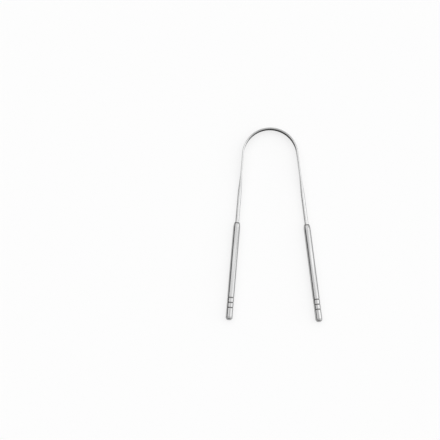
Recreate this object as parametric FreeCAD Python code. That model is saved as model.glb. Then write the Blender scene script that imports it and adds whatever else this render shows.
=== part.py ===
import FreeCAD, Part
import math
import os

# Tongue scraper: a steel wire bow with two tube handles, lying on its side.
# Millimetres. X runs across the tool, +Y points from the handles to the bow and +Z is up.
# The origin is on the table, under the middle of the tool's length and width.

# Bow: one round wire bent into a U and flattened on edge into a band round the bend.
# The bend is off the middle of the wire, so one leg is longer by the offset and the other shorter.
WIRE_DIAMETER = 2.4
BOW_RADIUS = 17.1
LEG_SPLAY_DEG = 5.85
BEND_OFFSET = 1.0
BAND_THICKNESS = 1.0
BAND_WIDTH = 4.2
BAND_BEVEL = 0.38
BAND_RUN = 12.0
TAPER_RUN = 15.0
BARE_WIRE_RUN = 17.7
WIRE_SEAT = 20.0
TAIL_BEVEL = 0.3

# Handles: tubes with the nose turned down to the wire and ring grooves near the free end
HANDLE_LENGTH = 60.5
HANDLE_WALL = 0.86
WIRE_CLEARANCE = 0.04
NOSE_LENGTH = 3.4
NOSE_BEVEL = 0.55
NOSE_BEVEL_DEPTH = 0.4
MOUTH_BEVEL = 0.06
MOUTH_LIP = 0.06
GROOVE_COUNT = 3
GROOVE_PITCH = 3.05
GROOVE_FROM_END = 7.8
GROOVE_WIDTH = 0.7
GROOVE_FLOOR = 0.3
GROOVE_DEPTH = 0.3
SEAM_BEVEL = 0.06

# End plugs: a rounded head as wide as the tube, on a shank that fills the bore
PLUG_HEAD = 2.1
PLUG_SHANK = 5.0
PLUG_CLEARANCE = 0.02
PLUG_TIP_BEVEL = 0.3
END_ROUND = 1.7

# Values that follow from the sizes above
TAPER_SECTIONS = 5
SPLAY = math.radians(LEG_SPLAY_DEG)
WIRE_RADIUS = WIRE_DIAMETER / 2
BORE_RADIUS = WIRE_RADIUS + WIRE_CLEARANCE
HANDLE_RADIUS = BORE_RADIUS + HANDLE_WALL
TAPER_END = BAND_RUN + TAPER_RUN
HANDLE_START = TAPER_END + BARE_WIRE_RUN
HANDLE_END = HANDLE_START + HANDLE_LENGTH
TUBE_LENGTH = HANDLE_LENGTH - PLUG_HEAD

# The lowest point in Y is on the rounded rim of the longer leg's plug, turned by the splay
TOP_Y = BOW_RADIUS + BAND_THICKNESS / 2
RIM_RUN = HANDLE_END + abs(BEND_OFFSET) - END_ROUND
RIM_DROP = math.cos(SPLAY) * RIM_RUN + math.sin(SPLAY) * (HANDLE_RADIUS - END_ROUND)
BOTTOM_Y = math.sin(SPLAY) * BOW_RADIUS - RIM_DROP - END_ROUND
MIDDLE_X = math.sin(SPLAY) * BEND_OFFSET
TABLE_OFFSET = FreeCAD.Vector(-MIDDLE_X, -(TOP_Y + BOTTOM_Y) / 2, max(HANDLE_RADIUS, BAND_WIDTH / 2))

ORIGIN = FreeCAD.Vector(0, 0, 0)
UP = FreeCAD.Vector(0, 0, 1)


def leg_placement(side):
    """Frame of one leg: its Z runs down the leg, its X points outwards.

    Its origin is where the leg would begin if the bend were in the middle of the wire.
    """
    outward = FreeCAD.Vector(side * math.cos(SPLAY), math.sin(SPLAY), 0)
    down = FreeCAD.Vector(side * math.sin(SPLAY), -math.cos(SPLAY), 0)
    across = down.cross(outward)
    start = outward * BOW_RADIUS + down * (side * BEND_OFFSET)
    return FreeCAD.Placement(FreeCAD.Matrix(
        outward.x, across.x, down.x, start.x,
        outward.y, across.y, down.y, start.y,
        outward.z, across.z, down.z, start.z,
        0, 0, 0, 1))


def on_leg(shape, side):
    """Carry a shape from the leg's own frame to the tool's frame."""
    placed = shape.copy()
    placed.Placement = leg_placement(side)
    return placed


def turned(profile):
    """Solid turned about the leg's Z from a closed run of edges in its XZ plane."""
    return Part.Face(Part.Wire(profile)).revolve(ORIGIN, UP, 360)


class Profile:
    """Half outline of a turned piece, drawn from point to point as radius and height."""

    def __init__(self, radius, height):
        self.start = self.last = FreeCAD.Vector(radius, 0, height)
        self.edges = []

    def line(self, radius, height):
        end = FreeCAD.Vector(radius, 0, height)
        self.edges.append(Part.makeLine(self.last, end))
        self.last = end

    def arc(self, through_radius, through_height, radius, height):
        through = FreeCAD.Vector(through_radius, 0, through_height)
        end = FreeCAD.Vector(radius, 0, height)
        self.edges.append(Part.Arc(self.last, through, end).toShape())
        self.last = end

    def closed(self):
        self.edges.append(Part.makeLine(self.last, self.start))
        return self.edges


def wire_section(share, height):
    """Section across the wire at a height along the leg: the band at share 0, a circle at share 1.

    Eight edges go round it, four flats and four bevels. Their corners and the crowns half-way along
    them move together, so each edge swells from a straight line into an eighth of the circle.
    """
    half_thickness = BAND_THICKNESS / 2
    half_width = BAND_WIDTH / 2
    face_half = half_width - BAND_BEVEL
    edge_half = half_thickness - BAND_BEVEL
    band_corners = [(half_thickness, -face_half), (half_thickness, face_half),
                    (edge_half, half_width), (-edge_half, half_width),
                    (-half_thickness, face_half), (-half_thickness, -face_half),
                    (-edge_half, -half_width), (edge_half, -half_width)]

    def on_band(i):
        x, y = band_corners[i % 8]
        return FreeCAD.Vector(x, y, height)

    def on_circle(i):
        turn = math.radians(45 * i)
        return FreeCAD.Vector(WIRE_RADIUS * math.cos(turn), WIRE_RADIUS * math.sin(turn), height)

    def between(band_point, circle_point):
        return band_point + (circle_point - band_point) * share

    edges = []
    for i in range(8):
        start = between(on_band(i), on_circle(i - 0.5))
        crown = between((on_band(i) + on_band(i + 1)) / 2, on_circle(i))
        end = between(on_band(i + 1), on_circle(i + 0.5))
        if share > 0:
            edges.append(Part.Arc(start, crown, end).toShape())
        else:
            edges.append(Part.makeLine(start, end))
    return Part.Wire(edges)


def taper_section(step):
    """Section at one step of the taper, which leaves the band and meets the wire smoothly."""
    run = step / (TAPER_SECTIONS - 1)
    eased = run * run * (3 - 2 * run)
    return wire_section(eased, BAND_RUN + TAPER_RUN * run)


def round_wire():
    """Round wire from the taper into the handle, with its tail bevelled."""
    tail = HANDLE_START + WIRE_SEAT
    outline = Profile(0, TAPER_END)
    outline.line(WIRE_RADIUS, TAPER_END)
    outline.line(WIRE_RADIUS, tail - TAIL_BEVEL)
    outline.line(WIRE_RADIUS - TAIL_BEVEL, tail)
    outline.line(0, tail)
    return turned(outline.closed())


def band_end(side):
    """Face of the band where a leg leaves the bend, in the leg's frame."""
    return Part.Face(wire_section(0, -side * BEND_OFFSET))


def scraper_bow():
    """The bent wire: the bend, and on each side a straight band, a taper and round wire."""
    bend = on_leg(band_end(1), 1).revolve(ORIGIN, UP, 180 - 2 * LEG_SPLAY_DEG)
    taper = Part.makeLoft([taper_section(step) for step in range(TAPER_SECTIONS)], True, False)
    wire = round_wire()

    legs = []
    for side in (1, -1):
        band = band_end(side).extrude(UP * (BAND_RUN + side * BEND_OFFSET))
        for piece in (band, taper, wire):
            legs.append(on_leg(piece, side))
    return bend.fuse(legs).removeSplitter()


def handle_tube():
    """Tube with a turned-down nose, a bevelled mouth, ring grooves and one bore right through."""
    mouth = HANDLE_START
    end = mouth + TUBE_LENGTH
    lip_radius = BORE_RADIUS + MOUTH_BEVEL + MOUTH_LIP
    shoulder_radius = lip_radius + NOSE_BEVEL_DEPTH

    # A bevel leads from the mouth's lip to a shoulder, and one arc from there runs out along the tube
    nose_draw = HANDLE_RADIUS - shoulder_radius
    nose_run = NOSE_LENGTH - NOSE_BEVEL
    nose_radius = (nose_draw ** 2 + nose_run ** 2) / (2 * nose_draw)
    half_turn = math.asin(nose_run / nose_radius) / 2

    outline = Profile(BORE_RADIUS, mouth + MOUTH_BEVEL)
    outline.line(BORE_RADIUS + MOUTH_BEVEL, mouth)
    outline.line(lip_radius, mouth)
    outline.line(shoulder_radius, mouth + NOSE_BEVEL)
    outline.arc(HANDLE_RADIUS - nose_radius * (1 - math.cos(half_turn)),
                mouth + NOSE_LENGTH - nose_radius * math.sin(half_turn),
                HANDLE_RADIUS, mouth + NOSE_LENGTH)
    for i in reversed(range(GROOVE_COUNT)):
        middle = HANDLE_END - GROOVE_FROM_END - i * GROOVE_PITCH
        outline.line(HANDLE_RADIUS, middle - GROOVE_WIDTH / 2)
        outline.line(HANDLE_RADIUS - GROOVE_DEPTH, middle - GROOVE_FLOOR / 2)
        outline.line(HANDLE_RADIUS - GROOVE_DEPTH, middle + GROOVE_FLOOR / 2)
        outline.line(HANDLE_RADIUS, middle + GROOVE_WIDTH / 2)
    outline.line(HANDLE_RADIUS, end - SEAM_BEVEL)
    outline.line(HANDLE_RADIUS - SEAM_BEVEL, end)
    outline.line(BORE_RADIUS, end)
    return turned(outline.closed())


def end_plug():
    """Plug with a rounded head that closes the tube, and a bevelled shank in the bore."""
    seat = HANDLE_END - PLUG_HEAD
    tip = seat - PLUG_SHANK
    shank_radius = BORE_RADIUS - PLUG_CLEARANCE
    bulge = END_ROUND * math.sqrt(0.5)

    outline = Profile(0, tip)
    outline.line(shank_radius - PLUG_TIP_BEVEL, tip)
    outline.line(shank_radius, tip + PLUG_TIP_BEVEL)
    outline.line(shank_radius, seat)
    outline.line(HANDLE_RADIUS - SEAM_BEVEL, seat)
    outline.line(HANDLE_RADIUS, seat + SEAM_BEVEL)
    outline.line(HANDLE_RADIUS, HANDLE_END - END_ROUND)
    outline.arc(HANDLE_RADIUS - END_ROUND + bulge, HANDLE_END - END_ROUND + bulge,
                HANDLE_RADIUS - END_ROUND, HANDLE_END)
    outline.line(0, HANDLE_END)
    return turned(outline.closed())


def build():
    """Every piece under its node name, standing on the table."""
    pieces = {"scraper_bow": scraper_bow()}
    for name, side in (("left", -1), ("right", 1)):
        pieces[name + "_handle"] = on_leg(handle_tube(), side)
        pieces[name + "_end_plug"] = on_leg(end_plug(), side)
    for shape in pieces.values():
        shape.translate(TABLE_OFFSET)
    return pieces


os.makedirs("parts", exist_ok=True)
for node, solid in build().items():
    solid.exportStep("parts/" + node + ".step")
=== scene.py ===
import math

import bpy
from mathutils import Matrix, Vector


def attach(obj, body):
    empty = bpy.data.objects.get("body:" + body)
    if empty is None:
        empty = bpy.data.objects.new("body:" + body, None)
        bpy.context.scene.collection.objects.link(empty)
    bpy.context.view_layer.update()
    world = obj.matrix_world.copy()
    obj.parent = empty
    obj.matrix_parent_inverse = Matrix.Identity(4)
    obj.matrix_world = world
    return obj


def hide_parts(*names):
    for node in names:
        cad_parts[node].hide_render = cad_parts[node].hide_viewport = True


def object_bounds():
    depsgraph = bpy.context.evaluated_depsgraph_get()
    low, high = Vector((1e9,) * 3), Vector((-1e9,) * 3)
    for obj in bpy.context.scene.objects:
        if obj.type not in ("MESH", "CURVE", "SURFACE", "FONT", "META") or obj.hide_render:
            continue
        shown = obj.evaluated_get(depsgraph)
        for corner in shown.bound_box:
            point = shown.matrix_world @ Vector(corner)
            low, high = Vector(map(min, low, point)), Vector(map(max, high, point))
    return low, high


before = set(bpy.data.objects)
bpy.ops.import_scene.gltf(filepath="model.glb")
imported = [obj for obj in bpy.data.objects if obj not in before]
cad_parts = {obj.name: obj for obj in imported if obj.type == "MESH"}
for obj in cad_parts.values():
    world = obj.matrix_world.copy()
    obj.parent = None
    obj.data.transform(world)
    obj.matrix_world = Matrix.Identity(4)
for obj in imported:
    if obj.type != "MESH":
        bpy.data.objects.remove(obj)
cad_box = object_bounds()

# A U-shaped steel tongue scraper on a white table, seen from above.
# Sizes are in millimetres, and those of the bow, handles and plugs are the solids' own.
# Meshes are scaled to metres when they are made.
MM = 0.001

# Bow: round wire, flattened on edge into a band round the bend, which is off the middle of the wire
WIRE_RADIUS = 1.2
BOW_RADIUS = 17.1
SPLAY = math.radians(5.85)
BEND_OFFSET = 1.0
BAND_THICKNESS = 1.0
BAND_WIDTH = 4.2
BAND_ROUND = 0.38
BAND_RUN = 12.0
TAPER_RUN = 15.0
BARE_WIRE_RUN = 17.7
WIRE_SEAT = 20.0
TAIL_BEVEL = 0.3

# Handles: tubes with the nose turned down to the wire and ring grooves near the free end
HANDLE_LENGTH = 60.5
HANDLE_RADIUS = 2.1
BORE_RADIUS = 1.24
NOSE_LENGTH = 3.4
NOSE_BEVEL = 0.55
NOSE_BEVEL_DEPTH = 0.4
MOUTH_BEVEL = 0.06
MOUTH_LIP = 0.06
GROOVE_COUNT = 3
GROOVE_PITCH = 3.05
GROOVE_FROM_END = 7.8
GROOVE_WIDTH = 0.7
GROOVE_FLOOR = 0.3
GROOVE_DEPTH = 0.3
SEAM_BEVEL = 0.06

# End plugs: a rounded head on a shank in the bore
PLUG_HEAD = 2.1
PLUG_SHANK = 5.0
PLUG_CLEARANCE = 0.02
PLUG_TIP_BEVEL = 0.3
END_ROUND = 1.7

# Fillets on the edges of the handles and plugs, which the solids leave sharp
LIP_FILLET = 0.02
SHOULDER_FILLET = 0.2
GROOVE_RIM_FILLET = 0.09
GROOVE_FLOOR_FILLET = 0.07
SEAM_RIM_FILLET = 0.03
SEAM_FILLET = 0.02
BORE_END_FILLET = 0.05
SHANK_FILLET = 0.03
TIP_FILLET = 0.06

# Runs down a leg, measured from where it would begin if the bend were in the middle of the wire
TAPER_END = BAND_RUN + TAPER_RUN
HANDLE_START = TAPER_END + BARE_WIRE_RUN
HANDLE_END = HANDLE_START + HANDLE_LENGTH
TUBE_END = HANDLE_END - PLUG_HEAD
TAIL_END = HANDLE_START + WIRE_SEAT

# Painted shade in the grooves, and the run below a mouth that is painted fully dark as shade
GROOVE_SHADE = 0.72
MOUTH_SHADE_RUN = 1.05 * NOSE_BEVEL

# Mesh density: steps of each stretch, and how far off the points lie that keep the shading even
TURNED_STEPS = 96
FILLET_STEPS = 4
ARC_STEPS = 12
TAPER_STEPS = 60
BAND_STEPS = 12
BEND_STEPS = 120
FACE_STEPS = 8
EDGE_STEPS = 4
CORNER_STEPS = 6
SECTION_SIDES = 8
HOLD = 0.05
WIRE_HOLD = 8.0

# The bow's centre in the row frame
LOWEST_Z, HIGHEST_Z = cad_box[0].z / MM, cad_box[1].z / MM
BOW_CENTRE = Vector((-math.sin(SPLAY) * BEND_OFFSET,
                     cad_box[1].y / MM - BOW_RADIUS - BAND_THICKNESS / 2,
                     (LOWEST_Z + HIGHEST_Z) / 2))


def place(origin, outward):
    """Frame at an origin, with its X outwards and its Y up."""
    up = Vector((0, 0, 1))
    matrix = Matrix((outward, up, outward.cross(up))).transposed().to_4x4()
    matrix.translation = origin
    return matrix


def leg_frame(side, run):
    """Place on a leg's axis: X outwards, Y up, Z down the leg on the right and up it on the left."""
    outward = Vector((side * math.cos(SPLAY), math.sin(SPLAY), 0))
    down = Vector((side * math.sin(SPLAY), -math.cos(SPLAY), 0))
    return place(BOW_CENTRE + outward * BOW_RADIUS + down * (run + side * BEND_OFFSET), outward)


def bend_frame(turn):
    """Place on the bend at an angle from the right-hand X axis."""
    outward = Vector((math.cos(turn), math.sin(turn), 0))
    return place(BOW_CENTRE + outward * BOW_RADIUS, outward)


def make_piece(name, points, faces, grain, recess_shade):
    """Mesh object in metres, with the grain and the painted shade of its points as attributes."""
    mesh = bpy.data.meshes.new(name)
    mesh.from_pydata([point * MM for point in points], [], faces)
    grain_values = [value for vector in grain for value in vector]
    mesh.attributes.new("grain", "FLOAT_VECTOR", "POINT").data.foreach_set("vector", grain_values)
    mesh.attributes.new("recess_shade", "FLOAT", "POINT").data.foreach_set("value", recess_shade)
    mesh.shade_smooth()
    piece = bpy.data.objects.new(name, mesh)
    bpy.context.scene.collection.objects.link(piece)
    return piece


def rounded(corners, closed):
    """Outline through corners of (radius, height, fillet), with a curve in place of each filleted one.

    A point on the straight side of each curve, where there is room for it, keeps the shading there flat.
    """
    outline = []
    count = len(corners)
    for i, (radius, height, fillet) in enumerate(corners):
        corner = Vector((radius, height))
        at_end = not closed and i in (0, count - 1)
        if fillet == 0 or at_end:
            outline.append(corner)
            continue
        before = Vector(corners[i - 1][:2]) - corner
        after = Vector(corners[(i + 1) % count][:2]) - corner
        reach = fillet / math.tan(before.angle(after) / 2)
        start = corner + before.normalized() * reach
        end = corner + after.normalized() * reach
        if before.length > 2 * (reach + HOLD):
            outline.append(corner + before.normalized() * (reach + HOLD))
        for step in range(FILLET_STEPS + 1):
            t = step / FILLET_STEPS
            outline.append(start.lerp(corner, t).lerp(corner.lerp(end, t), t))
        if after.length > 2 * (reach + HOLD):
            outline.append(corner + after.normalized() * (reach + HOLD))
    return outline


def turned(name, outline, closed, side, recess_shade_at):
    """Piece turned about a leg's axis from an outline of radius and height down the leg."""
    base = leg_frame(side, 0)
    points, grain, recess_shade, rings = [], [], [], []
    for radius, height in outline:
        ring = []
        for step in range(TURNED_STEPS if radius > 0 else 1):
            turn = 2 * math.pi * step / TURNED_STEPS
            x, y = radius * math.cos(turn), radius * math.sin(turn)
            ring.append(len(points))
            points.append(base @ Vector((x, y, side * height)))
            grain.append((x, y, height))
            recess_shade.append(recess_shade_at(radius, height))
        rings.append(ring)
    next_rings = rings[1:] + rings[:1] if closed else rings[1:]
    faces = []
    for first, second in zip(rings, next_rings):
        for step in range(TURNED_STEPS):
            after = (step + 1) % TURNED_STEPS
            quad = [first[step % len(first)], first[after % len(first)],
                    second[after % len(second)], second[step % len(second)]]
            face = list(dict.fromkeys(quad))
            faces.append(face[::-1] if side < 0 else face)
    return make_piece(name, points, faces, grain, recess_shade)


def tube_outline():
    """Closed half outline of a handle tube, from the bore's mouth round the outside and back."""
    lip = BORE_RADIUS + MOUTH_BEVEL + MOUTH_LIP
    shoulder = lip + NOSE_BEVEL_DEPTH
    draw = HANDLE_RADIUS - shoulder
    run = NOSE_LENGTH - NOSE_BEVEL
    nose_radius = (draw ** 2 + run ** 2) / (2 * draw)
    nose_turn = math.asin(run / nose_radius)
    corners = [(BORE_RADIUS, HANDLE_START + MOUTH_BEVEL, LIP_FILLET),
               (BORE_RADIUS + MOUTH_BEVEL, HANDLE_START, LIP_FILLET),
               (lip, HANDLE_START, LIP_FILLET),
               (shoulder, HANDLE_START + NOSE_BEVEL, SHOULDER_FILLET)]
    for step in range(1, ARC_STEPS + 1):
        turn = nose_turn * (1 - step / ARC_STEPS)
        corners.append((HANDLE_RADIUS - nose_radius * (1 - math.cos(turn)),
                        HANDLE_START + NOSE_LENGTH - nose_radius * math.sin(turn), 0))
    corners.append((HANDLE_RADIUS, HANDLE_START + NOSE_LENGTH + HOLD, 0))
    floor_radius = HANDLE_RADIUS - GROOVE_DEPTH
    for i in reversed(range(GROOVE_COUNT)):
        middle = HANDLE_END - GROOVE_FROM_END - i * GROOVE_PITCH
        corners += [(HANDLE_RADIUS, middle - GROOVE_WIDTH / 2, GROOVE_RIM_FILLET),
                    (floor_radius, middle - GROOVE_FLOOR / 2, GROOVE_FLOOR_FILLET),
                    (floor_radius, middle + GROOVE_FLOOR / 2, GROOVE_FLOOR_FILLET),
                    (HANDLE_RADIUS, middle + GROOVE_WIDTH / 2, GROOVE_RIM_FILLET)]
    corners += [(HANDLE_RADIUS, TUBE_END - SEAM_BEVEL, SEAM_RIM_FILLET),
                (HANDLE_RADIUS - SEAM_BEVEL, TUBE_END, SEAM_FILLET),
                (BORE_RADIUS, TUBE_END, BORE_END_FILLET)]
    return rounded(corners, True)


def tube_painted_shade(radius, height):
    """Painted shade on a point of the tube, from 0 to 1: the bore, the mouth, the grooves and the seam are
    painted dark as shade.
    """
    if radius < BORE_RADIUS + MOUTH_BEVEL / 2 or height < HANDLE_START + MOUTH_SHADE_RUN:
        return 1.0
    if height < HANDLE_START + NOSE_LENGTH:
        return 0.0
    return GROOVE_SHADE * min(1.0, max(0.0, (HANDLE_RADIUS - radius) / GROOVE_DEPTH))


def plug_outline():
    """Half outline of an end plug, from the tip of its shank to the middle of its head."""
    shank = BORE_RADIUS - PLUG_CLEARANCE
    tip = TUBE_END - PLUG_SHANK
    corners = [(0, tip, 0),
               (shank - PLUG_TIP_BEVEL, tip, TIP_FILLET),
               (shank, tip + PLUG_TIP_BEVEL, TIP_FILLET),
               (shank, TUBE_END, SHANK_FILLET),
               (HANDLE_RADIUS - SEAM_BEVEL, TUBE_END, SEAM_FILLET),
               (HANDLE_RADIUS, TUBE_END + SEAM_BEVEL, SEAM_RIM_FILLET)]
    outline = rounded(corners + [(HANDLE_RADIUS, HANDLE_END, 0)], False)[:-1]
    for step in range(ARC_STEPS + 1):
        turn = math.pi / 2 * step / ARC_STEPS
        outline.append(Vector((HANDLE_RADIUS - END_ROUND * (1 - math.cos(turn)),
                               HANDLE_END - END_ROUND * (1 - math.sin(turn)))))
    outline.append(Vector((HANDLE_RADIUS - END_ROUND - HOLD, HANDLE_END)))
    outline.append(Vector((0, HANDLE_END)))
    return outline


def plug_painted_shade(radius, height):
    """Painted shade on a point of the plug: 1 on its shank and in the seam, 0 on its head."""
    return 1.0 if height < TUBE_END + SEAM_BEVEL / 2 else 0.0


def band_section():
    """Points round the band, and the points of the round wire that they turn into, in the same order.

    The band has eight sides, four flats and four rounds, and each takes an eighth of the round wire.
    """
    half_thickness, half_width = BAND_THICKNESS / 2, BAND_WIDTH / 2
    face_half, edge_half = half_width - BAND_ROUND, half_thickness - BAND_ROUND
    band, wire = [], []

    def add(x, y, sides_before):
        band.append(Vector((x, y, 0)))
        turn = 2 * math.pi * (sides_before - 0.5) / SECTION_SIDES
        wire.append(Vector((WIRE_RADIUS * math.cos(turn), WIRE_RADIUS * math.sin(turn), 0)))

    def flat(x0, y0, x1, y1, sides_before, steps):
        for step in range(steps):
            t = step / steps
            add(x0 + (x1 - x0) * t, y0 + (y1 - y0) * t, sides_before + t)

    def corner(x, y, start_degrees, sides_before):
        for step in range(CORNER_STEPS):
            t = step / CORNER_STEPS
            turn = math.radians(start_degrees + 90 * t)
            add(x + BAND_ROUND * math.cos(turn), y + BAND_ROUND * math.sin(turn), sides_before + t)

    flat(half_thickness, -face_half, half_thickness, face_half, 0, FACE_STEPS)
    corner(edge_half, face_half, 0, 1)
    flat(edge_half, half_width, -edge_half, half_width, 2, EDGE_STEPS)
    corner(-edge_half, face_half, 90, 3)
    flat(-half_thickness, face_half, -half_thickness, -face_half, 4, FACE_STEPS)
    corner(-edge_half, -face_half, 180, 5)
    flat(-edge_half, -half_width, edge_half, -half_width, 6, EDGE_STEPS)
    corner(edge_half, -face_half, 270, 7)
    return band, wire


def leg_runs(bend_end):
    """Runs down a leg that have a ring of points, from the tail to the bend, each with the ring's size."""
    bevel_start = TAIL_END - TAIL_BEVEL
    runs = [(TAIL_END, 1 - TAIL_BEVEL / WIRE_RADIUS), (bevel_start, 1.0), (bevel_start - HOLD, 1.0)]
    runs += [(HANDLE_START, 1.0), (TAPER_END + WIRE_HOLD, 1.0)]
    runs += [(TAPER_END - TAPER_RUN * step / TAPER_STEPS, 1.0) for step in range(TAPER_STEPS)]
    runs += [(BAND_RUN + (bend_end - BAND_RUN) * step / BAND_STEPS, 1.0) for step in range(BAND_STEPS)]
    return runs


def bow_stations():
    """Rings of points from the left tail to the right one.

    Each has its place, its run down the leg, its size and its distance along the wire from the middle.
    """
    swing = math.pi - 2 * SPLAY
    half_bend = BOW_RADIUS * swing / 2
    stations = []
    for run, size in leg_runs(BEND_OFFSET):
        stations.append((leg_frame(-1, run), run, size, -half_bend - run))
    for step in range(BEND_STEPS + 1):
        share = step / BEND_STEPS
        turn = math.pi - SPLAY - swing * share
        stations.append((bend_frame(turn), 0.0, 1.0, half_bend * (2 * share - 1) - BEND_OFFSET))
    for run, size in reversed(leg_runs(-BEND_OFFSET)):
        stations.append((leg_frame(1, run), run, size, half_bend + run))
    return stations


def make_bow():
    """The bent wire as one swept mesh, capped at both tails."""
    band, wire = band_section()
    count = len(band)
    points, grain, recess_shade, faces = [], [], [], []
    stations = bow_stations()
    for matrix, run, size, along in stations:
        share = min(1.0, max(0.0, (run - BAND_RUN) / TAPER_RUN))
        share = share * share * (3 - 2 * share)
        for flat_point, round_point in zip(band, wire):
            point = flat_point.lerp(round_point, share) * size
            points.append(matrix @ point)
            grain.append((point.x, point.y, along))
            # Painted shade on the wire where it lies in a handle's bore
            recess_shade.append(1.0 if run > HANDLE_START else 0.0)
    last = len(stations) - 1
    for i in range(last):
        for j in range(count):
            k = (j + 1) % count
            faces.append([i * count + j, i * count + k, (i + 1) * count + k, (i + 1) * count + j])
    faces.append(list(reversed(range(count))))
    faces.append([last * count + j for j in range(count)])
    return make_piece("scraper_bow_wire", points, faces, grain, recess_shade)


class Shader:
    """Short names for the nodes that the materials and the studio are made of."""

    def __init__(self, tree):
        self.tree = tree
        tree.nodes.clear()

    def node(self, kind, inputs=None, **settings):
        """New node with its settings, and with each input linked to a socket or set to a value."""
        made = self.tree.nodes.new(kind)
        for key, value in settings.items():
            setattr(made, key, value)
        for key, value in (inputs or {}).items():
            if isinstance(value, bpy.types.NodeSocket):
                self.tree.links.new(value, made.inputs[key])
            else:
                made.inputs[key].default_value = value
        return made

    def noise(self, vector, stretch, detail, roughness=0.55):
        """Noise from 0 to 1 on a vector that is first stretched."""
        scaled = self.node("ShaderNodeVectorMath", {0: vector, 1: stretch}, operation="MULTIPLY")
        made = self.node("ShaderNodeTexNoise", {"Vector": scaled.outputs[0], "Scale": 1.0, "Detail": detail,
                                                "Roughness": roughness})
        return made.outputs["Fac"]

    def span(self, value, low, high, to_low, to_high):
        """Value from one range carried smoothly into another and held at its ends."""
        return self.node("ShaderNodeMapRange", {0: value, 1: low, 2: high, 3: to_low, 4: to_high},
                         interpolation_type="SMOOTHSTEP").outputs[0]

    def math(self, operation, *values):
        """Result of one operation on values."""
        return self.node("ShaderNodeMath", dict(enumerate(values)), operation=operation).outputs[0]

    def product(self, *values):
        """Values multiplied together, from the first to the last."""
        total = values[0]
        for value in values[1:]:
            total = self.math("MULTIPLY", total, value)
        return total

    def mix(self, share, first, second):
        """Colour that goes from the first to the second with the share."""
        made = self.node("ShaderNodeMix", {0: share, 6: first, 7: second}, data_type="RGBA")
        return made.outputs[2]


def grey(level, warmth=0.0):
    """Grey of a level, with more red and less blue by the warmth."""
    return (level * (1 + warmth), level, level * (1 - warmth), 1.0)


# Noise in the steel: its stretch across a piece both ways and along it, and the part of its range in use
FINE_STRETCH = (7.0, 7.0, 0.10)
FINE_RANGE = (0.3, 0.7)
STREAK_STRETCH = (1.15, 1.15, 0.025)
STREAK_RANGE = (0.35, 0.65)
SMUDGE_STRETCH = (0.35, 0.35, 0.12)
SMUDGE_RANGE = (0.4, 0.75)
SCRATCH_STRETCH = (2.6, 2.1, 0.07)
SCRATCH_MIDDLE = 0.5
SCRATCH_WIDTH = 0.010

# Rings on the turned plugs: the stretch of their noise outwards and along the axis
RING_STRETCH = (12.0, 9.0, 0.0)

# How strongly each mark and the painted shade in the recesses show in the steel's tone, gloss and relief
SCRATCH_SHARE = 0.25
SCRATCH_TONE = 0.7
SCRATCH_HEIGHT = -0.4
RECESS_SHADE_SHARE = 0.85
RECESS_SHADE_TONE = 0.06
RECESS_SHADE_WARMTH = 0.02
RECESS_ROUGHNESS = 0.3
SMUDGE_ROUGHNESS = 0.08
FINE_SMOOTHEST = 0.8
FINE_ROUGHEST = 1.25
FINE_HEIGHT = 0.6
BUMP_STRENGTH = 0.25
BUMP_DEPTH = 0.02

# Bend of the bow: burnished, and darkened with painted shade, each up to where it fades out along the wire
# from the middle
BURNISH_FADE = (19.0, 28.0)
BURNISH_RIM = 0.08
BURNISH_ROUGHNESS = 0.5
BEND_SHADE_FADE = (10.0, 22.0)
BEND_SHADE_SHARE = 0.40
BEND_SHADE_TONE = 0.10


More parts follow.
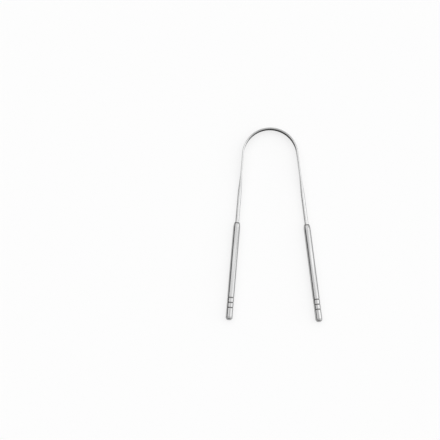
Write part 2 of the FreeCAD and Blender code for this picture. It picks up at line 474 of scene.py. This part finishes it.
def steel(name, tone, rim, roughness, streak_depth, turned_marks=False, burnished_and_shaded_bend=False):
    """Polished steel with drawn lines along the piece, hairline scratches, smudges and painted shade in its
    recesses.

    The rim is the tint of its reflections at a grazing angle.
    """
    material = bpy.data.materials.new(name)
    material.use_nodes = True
    s = Shader(material.node_tree)
    grain = s.node("ShaderNodeAttribute", attribute_name="grain").outputs["Vector"]
    recess_shade = s.node("ShaderNodeAttribute", attribute_name="recess_shade").outputs["Fac"]
    across, up, along = s.node("ShaderNodeSeparateXYZ", {0: grain}).outputs[:3]

    fine = s.noise(grain, FINE_STRETCH, detail=4.0, roughness=0.6)
    streak = s.noise(grain, STREAK_STRETCH, detail=2.0)
    smudge = s.noise(grain, SMUDGE_STRETCH, detail=3.0)
    lines = s.noise(grain, SCRATCH_STRETCH, detail=1.0)
    off_line = s.math("ABSOLUTE", s.math("SUBTRACT", lines, SCRATCH_MIDDLE))
    scratch = s.span(off_line, 0.0, SCRATCH_WIDTH, 1.0, 0.0)

    dark, light = grey(tone * (1 - streak_depth)), grey(tone * (1 + streak_depth))
    lit = s.mix(s.span(streak, *STREAK_RANGE, 0.0, 1.0), dark, light)
    cut = s.mix(s.math("MULTIPLY", scratch, SCRATCH_SHARE), lit, grey(tone * SCRATCH_TONE))
    # Painted shade: the recesses are darkened towards a near-black
    colour = s.mix(s.math("MULTIPLY", recess_shade, RECESS_SHADE_SHARE), cut, grey(RECESS_SHADE_TONE, RECESS_SHADE_WARMTH))

    rough = s.math("ADD", s.span(fine, *FINE_RANGE, roughness * FINE_SMOOTHEST, roughness * FINE_ROUGHEST),
                   s.span(smudge, *SMUDGE_RANGE, 0.0, SMUDGE_ROUGHNESS))
    rough = s.math("ADD", rough, s.math("MULTIPLY", recess_shade, RECESS_ROUGHNESS))

    height = s.math("ADD", s.math("MULTIPLY", fine, FINE_HEIGHT),
                    s.math("MULTIPLY", scratch, SCRATCH_HEIGHT))
    if turned_marks:
        flat = s.node("ShaderNodeCombineXYZ", {0: across, 1: up})
        radius = s.node("ShaderNodeVectorMath", {0: flat.outputs[0]}, operation="LENGTH").outputs["Value"]
        rings = s.node("ShaderNodeCombineXYZ", {0: radius, 1: along})
        height = s.math("ADD", height, s.noise(rings.outputs[0], RING_STRETCH, detail=2.0))
    bump = s.node("ShaderNodeBump", {
        "Strength": BUMP_STRENGTH, "Distance": BUMP_DEPTH * MM, "Height": height})

    edge_tint = grey(rim)
    if burnished_and_shaded_bend:
        from_middle = s.math("ABSOLUTE", along)
        bend = s.span(from_middle, *BURNISH_FADE, 1.0, 0.0)
        edge_tint = s.mix(bend, edge_tint, grey(BURNISH_RIM))
        rough = s.math("MULTIPLY", rough, s.span(bend, 0.0, 1.0, 1.0, BURNISH_ROUGHNESS))
        # Painted shade: the bend darkened towards a near-black, fading out along the wire from the middle
        colour = s.mix(s.span(from_middle, *BEND_SHADE_FADE, BEND_SHADE_SHARE, 0.0), colour, grey(BEND_SHADE_TONE))

    shader = s.node("ShaderNodeBsdfPrincipled", {
        "Base Color": colour, "Metallic": 1.0, "Roughness": rough, "Specular Tint": edge_tint,
        "Normal": bump.outputs[0]})
    s.node("ShaderNodeOutputMaterial", {0: shader.outputs[0]})
    return material


def add_piece(piece, node, material):
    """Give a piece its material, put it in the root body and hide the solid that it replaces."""
    piece.data.materials.append(material)
    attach(piece, "root")
    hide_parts(node)


wire_steel = steel("drawn_wire_steel", tone=0.54, rim=1.0, roughness=0.30, streak_depth=0.06,
                   burnished_and_shaded_bend=True)
tube_steel = steel("polished_tube_steel", tone=0.43, rim=0.7, roughness=0.14, streak_depth=0.22)
plug_steel = steel("turned_plug_steel", tone=0.43, rim=0.7, roughness=0.30, streak_depth=0.12,
                   turned_marks=True)

add_piece(make_bow(), "scraper_bow", wire_steel)
for label, side in (("left", -1), ("right", 1)):
    tube = turned(label + "_handle_tube", tube_outline(), True, side, tube_painted_shade)
    add_piece(tube, label + "_handle", tube_steel)
    plug = turned(label + "_handle_plug", plug_outline(), False, side, plug_painted_shade)
    add_piece(plug, label + "_end_plug", plug_steel)


# Table: partly plain white to the camera and in reflections, so that the tool's shadow on it is faint
FLOOR_HALF = 30000.0 * MM
FLOOR_DROP = 0.02 * MM
FLOOR_TONE = 0.95
FLOOR_ROUGHNESS = 0.9
FLOOR_GLOSS = 0.2
FLOOR_WHITE = 0.7
floor_mesh = bpy.data.meshes.new("table_top")
floor_mesh.from_pydata([(-FLOOR_HALF, -FLOOR_HALF, 0), (FLOOR_HALF, -FLOOR_HALF, 0),
                        (FLOOR_HALF, FLOOR_HALF, 0), (-FLOOR_HALF, FLOOR_HALF, 0)], [], [(0, 1, 2, 3)])
floor = bpy.data.objects.new("table_top", floor_mesh)
floor.location.z = -FLOOR_DROP
bpy.context.scene.collection.objects.link(floor)
white = bpy.data.materials.new("white_table")
white.use_nodes = True
paint = Shader(white.node_tree)
coat = paint.node("ShaderNodeBsdfPrincipled", {
    "Base Color": grey(FLOOR_TONE), "Roughness": FLOOR_ROUGHNESS, "Specular IOR Level": FLOOR_GLOSS})
plain = paint.node("ShaderNodeEmission", {"Color": grey(1.0), "Strength": 1.0})
ray = paint.node("ShaderNodeLightPath").outputs
looked_at = paint.math("MAXIMUM", ray["Is Camera Ray"], ray["Is Glossy Ray"])
looked_at = paint.math("MAXIMUM", looked_at, ray["Is Transmission Ray"])
white_share = paint.math("MULTIPLY", looked_at, FLOOR_WHITE)
surface = paint.node("ShaderNodeMixShader", {0: white_share, 1: coat.outputs[0], 2: plain.outputs[0]})
paint.node("ShaderNodeOutputMaterial", {0: surface.outputs[0]})
floor_mesh.materials.append(white)

# Studio: an overhead strip light with a gap for the camera, a window high in the north and a pale room
STRIP_WEST = 1.12
STRIP_EAST = 1.66
STRIP_SOUTH_SHARE = 0.75
GAP_DEPTH = 0.22
WINDOW_LEVEL = 0.95
ROOM_LEVEL = 0.38
HORIZON_LEVEL = 0.90
DARK_LEVEL = 0.04
SOUTH_SHARE = 0.65
BACKDROP_LEVEL = 0.98

# Angles east of straight up, in degrees, between which the strip and its gap change
STRIP_GROWTH = (-20, 45)
STRIP_WEST_END = (-66, -50)
STRIP_EAST_END = (74, 88)
GAP_WEST_SIDE = (-10, -3)
GAP_EAST_SIDE = (-1, 6)

# Northward, eastward or upward parts of a direction between which the levels change
STRIP_SOUTH_END = (-0.40, -0.12)
STRIP_SOUTH_FADE = (-0.04, 0.12)
STRIP_TO_WINDOW = (0.24, 0.40)
GAP_NORTH_END = (0.02, 0.14)
WINDOW_RISE = (0.30, 0.60)
WALL_RISE = (0.15, 0.50)
DARK_WEST = (-0.90, -0.70)
DIM_SOUTH = (-0.92, -0.74)
BACKDROP_RISE = (0.03, 0.08)

world = bpy.data.worlds.new("studio")
bpy.context.scene.world = world
world.use_nodes = True
sky = Shader(world.node_tree)
facing = sky.node("ShaderNodeTexCoord").outputs["Generated"]
east, north, up = sky.node("ShaderNodeSeparateXYZ", {0: facing}).outputs[:3]
lean_east = sky.math("ARCTAN2", east, up)


def lean(angles, low, high):
    """Level that goes from low to high between two angles east of straight up."""
    start, end = angles
    return sky.span(lean_east, math.radians(start), math.radians(end), low, high)


not_west = sky.span(east, *DARK_WEST, 0.0, 1.0)
not_south = sky.span(north, *DIM_SOUTH, SOUTH_SHARE, 1.0)
walls = sky.product(not_west, not_south, sky.span(up, *WALL_RISE, HORIZON_LEVEL, ROOM_LEVEL))
room = sky.math("MAXIMUM", walls, DARK_LEVEL)
strip = sky.product(lean(STRIP_GROWTH, STRIP_WEST, STRIP_EAST),
                    lean(STRIP_WEST_END, 0.0, 1.0),
                    lean(STRIP_EAST_END, 1.0, 0.0),
                    sky.span(north, *STRIP_SOUTH_FADE, STRIP_SOUTH_SHARE, 1.0),
                    sky.span(north, *STRIP_SOUTH_END, 0.0, 1.0),
                    sky.span(north, *STRIP_TO_WINDOW, 1.0, 0.0))
gap = sky.product(lean(GAP_WEST_SIDE, 0.0, GAP_DEPTH),
                  lean(GAP_EAST_SIDE, 1.0, 0.0),
                  sky.span(north, *GAP_NORTH_END, 1.0, 0.0))
window = sky.product(sky.span(north, *STRIP_TO_WINDOW, 0.0, WINDOW_LEVEL),
                     sky.span(up, *WINDOW_RISE, 0.0, 1.0))
lamps = sky.math("ADD", sky.math("SUBTRACT", strip, gap), window)
horizon = sky.span(up, *BACKDROP_RISE, BACKDROP_LEVEL, 0.0)
light = sky.math("MAXIMUM", sky.math("ADD", lamps, room), horizon)
backdrop = sky.node("ShaderNodeBackground", {"Color": grey(1.0), "Strength": light})
sky.node("ShaderNodeOutputWorld", {0: backdrop.outputs[0]})

# Camera at the photograph's angle
CAMERA_AIM = BOW_CENTRE + Vector((-32.08, -40.02, 0))
CAMERA_DISTANCE = 510.7
CAMERA_TILT = math.radians(6.0)
CAMERA_ROLL = math.radians(-0.9)
CAMERA_FIELD = math.radians(30.0)
CAMERA_NEAREST = 10.0
back = Vector((0, -math.sin(CAMERA_TILT), math.cos(CAMERA_TILT)))
level_right = Vector((1, 0, 0))
level_up = back.cross(level_right)
right = level_right * math.cos(CAMERA_ROLL) + level_up * math.sin(CAMERA_ROLL)
camera = bpy.data.objects.new("camera", bpy.data.cameras.new("camera"))
camera.data.angle = CAMERA_FIELD
camera.data.clip_start = CAMERA_NEAREST * MM
camera.matrix_world = Matrix((right, back.cross(right), back)).transposed().to_4x4()
camera.location = (CAMERA_AIM + back * CAMERA_DISTANCE) * MM
bpy.context.scene.collection.objects.link(camera)
bpy.context.scene.camera = camera
bpy.context.scene.view_settings.view_transform = "Standard"
